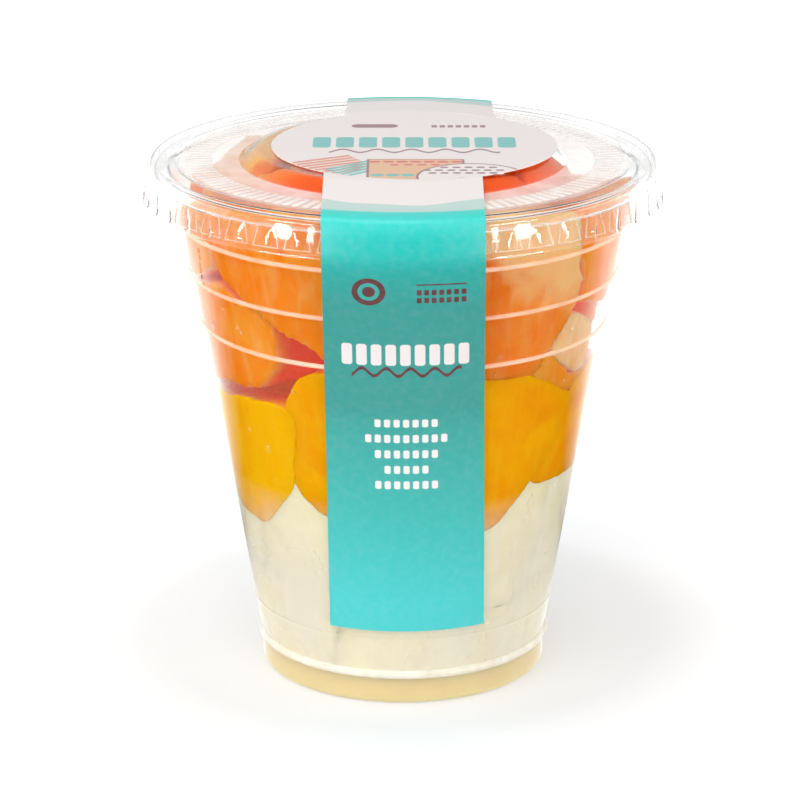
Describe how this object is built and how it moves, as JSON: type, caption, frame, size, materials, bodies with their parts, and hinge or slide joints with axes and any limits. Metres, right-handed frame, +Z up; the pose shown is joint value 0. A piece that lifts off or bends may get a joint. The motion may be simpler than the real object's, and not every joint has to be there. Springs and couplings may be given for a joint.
{
  "type": "fruit cup",
  "caption": "Clear tapered cup of layered cut papaya, mango and melon, shut by a flat snap lid that a paper sticker with two hanging strips seals.",
  "frame": {"origin": "middle of the foot ring, on the surface that the cup stands on", "axes": "+Z up along the cup's axis, -Y to the front strip of the sticker, +X to the right as seen from the front"},
  "size_m": [0.1016, 0.1032, 0.1055],
  "materials": {
    "clear_cup": null,
    "clear_lid": null,
    "printed_paper": "teal and pale pink print, satin varnish",
    "papaya_flesh": null,
    "mango_flesh": null,
    "melon_flesh": null
  },
  "bodies": {
    "root": {"cup": "clear_cup", "lid": "clear_lid", "label": "printed_paper", "papaya_1": "papaya_flesh", "papaya_2": "papaya_flesh", "papaya_3": "papaya_flesh", "papaya_4": "papaya_flesh", "papaya_5": "papaya_flesh", "papaya_6": "papaya_flesh", "papaya_7": "papaya_flesh", "papaya_8": "papaya_flesh", "papaya_9": "papaya_flesh", "papaya_10": "papaya_flesh", "papaya_11": "papaya_flesh", "papaya_12": "papaya_flesh", "papaya_13": "papaya_flesh", "papaya_14": "papaya_flesh", "papaya_15": "papaya_flesh", "papaya_16": "papaya_flesh", "papaya_17": "papaya_flesh", "mango_1": "mango_flesh", "mango_2": "mango_flesh", "mango_3": "mango_flesh", "mango_4": "mango_flesh", "mango_5": "mango_flesh", "mango_6": "mango_flesh", "mango_7": "mango_flesh", "mango_8": "mango_flesh", "mango_9": "mango_flesh", "melon_1": "melon_flesh", "melon_2": "melon_flesh", "melon_3": "melon_flesh", "melon_4": "melon_flesh", "melon_5": "melon_flesh", "melon_6": "melon_flesh", "melon_7": "melon_flesh", "melon_8": "melon_flesh", "melon_9": "melon_flesh", "melon_10": "melon_flesh", "melon_11": "melon_flesh", "melon_12": "melon_flesh", "melon_13": "melon_flesh", "melon_14": "melon_flesh", "melon_15": "melon_flesh", "melon_16": "melon_flesh", "melon_17": "melon_flesh"}
  },
  "joints": []
}
